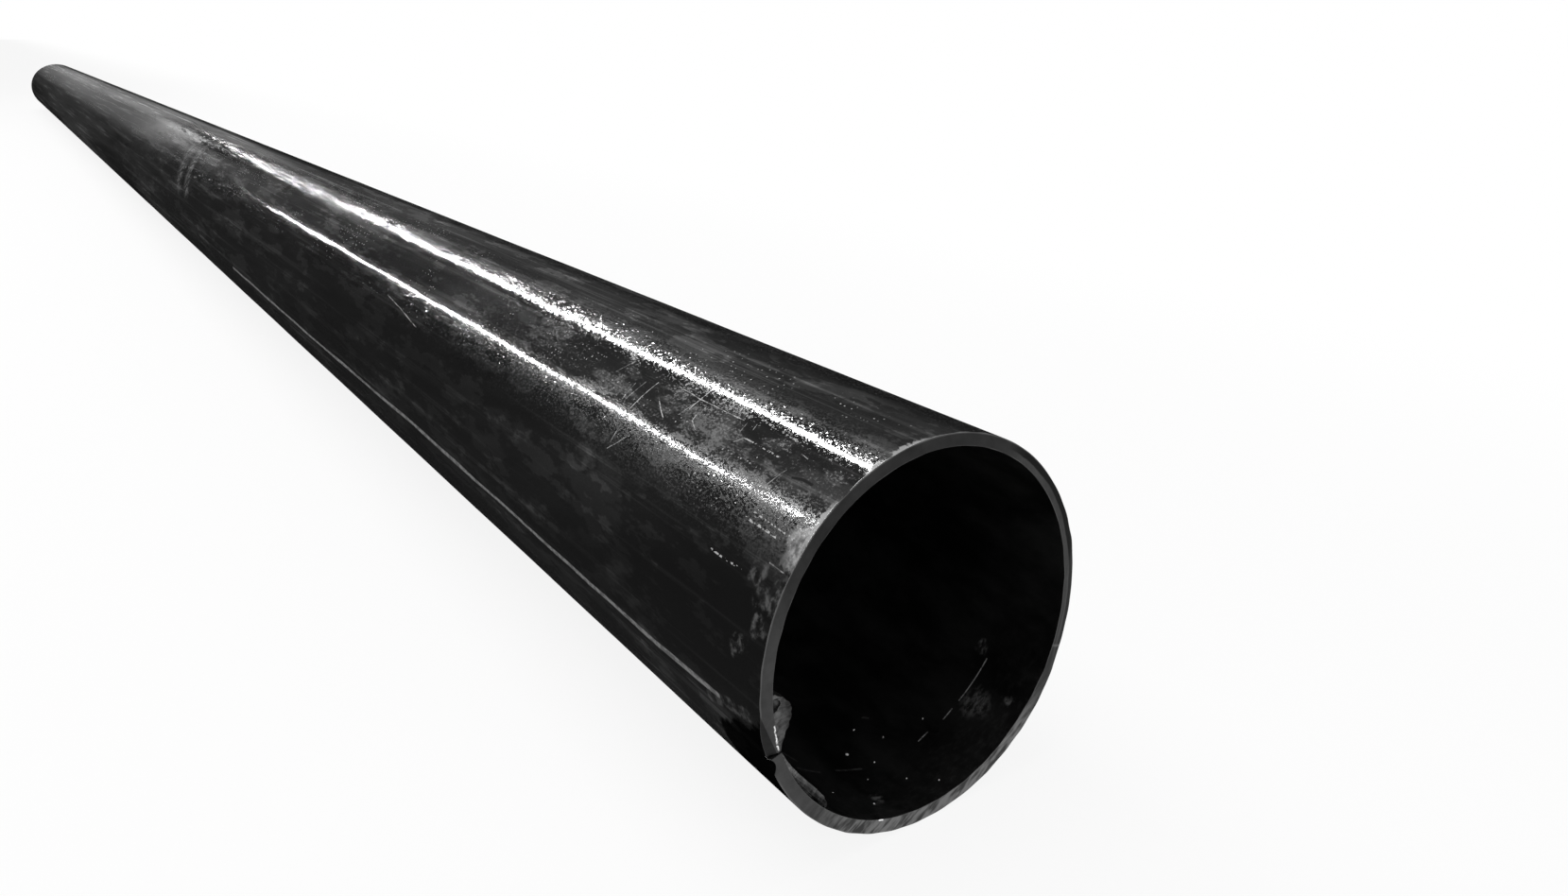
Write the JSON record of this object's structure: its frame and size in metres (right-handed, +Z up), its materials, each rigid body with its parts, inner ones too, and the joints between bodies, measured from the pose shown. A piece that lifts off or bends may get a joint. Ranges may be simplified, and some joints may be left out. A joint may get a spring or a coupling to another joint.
{
  "type": "welded steel pipe",
  "caption": "Long round steel pipe with dark mill scale, a straight weld seam and a rough cut end where the inside weld flash stands up in two torn lips.",
  "frame": {"origin": "on the ground under the middle of the pipe, which lies on its side as it comes to rest", "axes": "+X runs along the pipe towards the rough cut end, +Z is up, and the weld line faces -Y and a little down"},
  "size_m": [6.4, 0.219, 0.2191],
  "materials": {
    "mill_scale_steel": "black mill scale, rubbed bright in places"
  },
  "bodies": {
    "root": {"pipe": "mill_scale_steel"}
  },
  "joints": []
}
